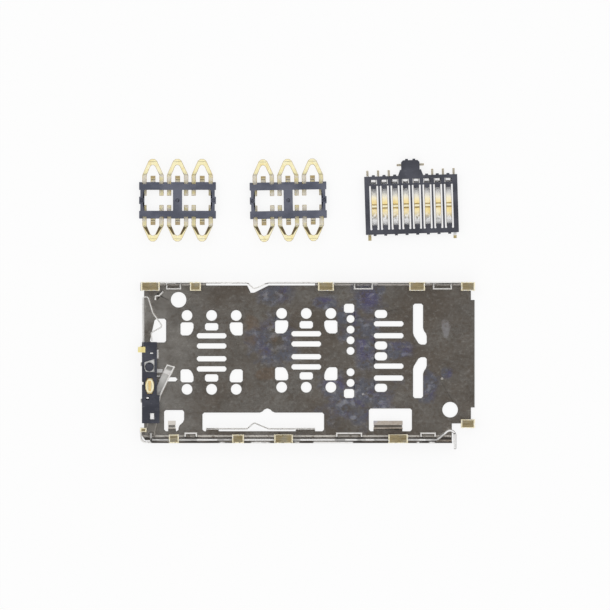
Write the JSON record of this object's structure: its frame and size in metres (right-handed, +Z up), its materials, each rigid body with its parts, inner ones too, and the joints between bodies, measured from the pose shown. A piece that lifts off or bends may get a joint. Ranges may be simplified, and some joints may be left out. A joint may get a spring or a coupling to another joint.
{
  "type": "sim card reader",
  "caption": "Open stamped metal card reader shell with push rod, eject lever and card switch, laid out with its SIM and microSD spring contact blocks.",
  "frame": {"origin": "middle of the set's base, on the plane the roof of the shell lies on", "axes": "+X along the shell towards the tray's mouth, +Y towards the contact blocks, +Z up from the roof to the solder side"},
  "size_m": [0.0348, 0.03, 0.0014],
  "materials": {
    "shell_steel": "dull rolled sheet, stained",
    "bright_steel": "bright cut strip",
    "spring_steel": "satin spring strip",
    "black_moulding": "matt moulded",
    "gold_plate": "thin gold plating"
  },
  "bodies": {
    "reader": {"detect_contact": "gold_plate", "detect_spring": "spring_steel", "lever_rivet": "bright_steel", "retainer_plate": "bright_steel", "sd_contact_1": "gold_plate", "sd_contact_2": "gold_plate", "sd_contact_3": "gold_plate", "sd_contact_4": "gold_plate", "sd_contact_5": "gold_plate", "sd_contact_6": "gold_plate", "sd_contact_7": "gold_plate", "sd_contact_8": "gold_plate", "sd_frame": "black_moulding", "sd_pin_left": "gold_plate", "sd_pin_right": "gold_plate", "shell": "shell_steel", "sim_a_contact_1": "gold_plate", "sim_a_contact_2": "gold_plate", "sim_a_contact_3": "gold_plate", "sim_a_contact_4": "gold_plate", "sim_a_contact_5": "gold_plate", "sim_a_contact_6": "gold_plate", "sim_a_frame": "black_moulding", "sim_b_contact_1": "gold_plate", "sim_b_contact_2": "gold_plate", "sim_b_contact_3": "gold_plate", "sim_b_contact_4": "gold_plate", "sim_b_contact_5": "gold_plate", "sim_b_contact_6": "gold_plate", "sim_b_frame": "black_moulding", "switch_housing": "black_moulding", "switch_tail": "gold_plate"},
    "rod": {"push_rod": "bright_steel"},
    "lever": {"eject_lever": "bright_steel"}
  },
  "joints": [
    {"name": "push_rod_slide", "type": "slide", "parent": "reader", "child": "rod", "axis": [1, 0, 0], "range_m": [0, 0.0006]},
    {"name": "eject_lever_turn", "type": "hinge", "parent": "reader", "child": "lever", "pos_m": [-0.01589, -0.01159, 0.00034], "axis": [0, 0, 1], "range_deg": [0, 17.5]}
  ],
  "couplings": [
    {"joint": "eject_lever_turn", "follows": "push_rod_slide", "rad_per_m": 500}
  ]
}
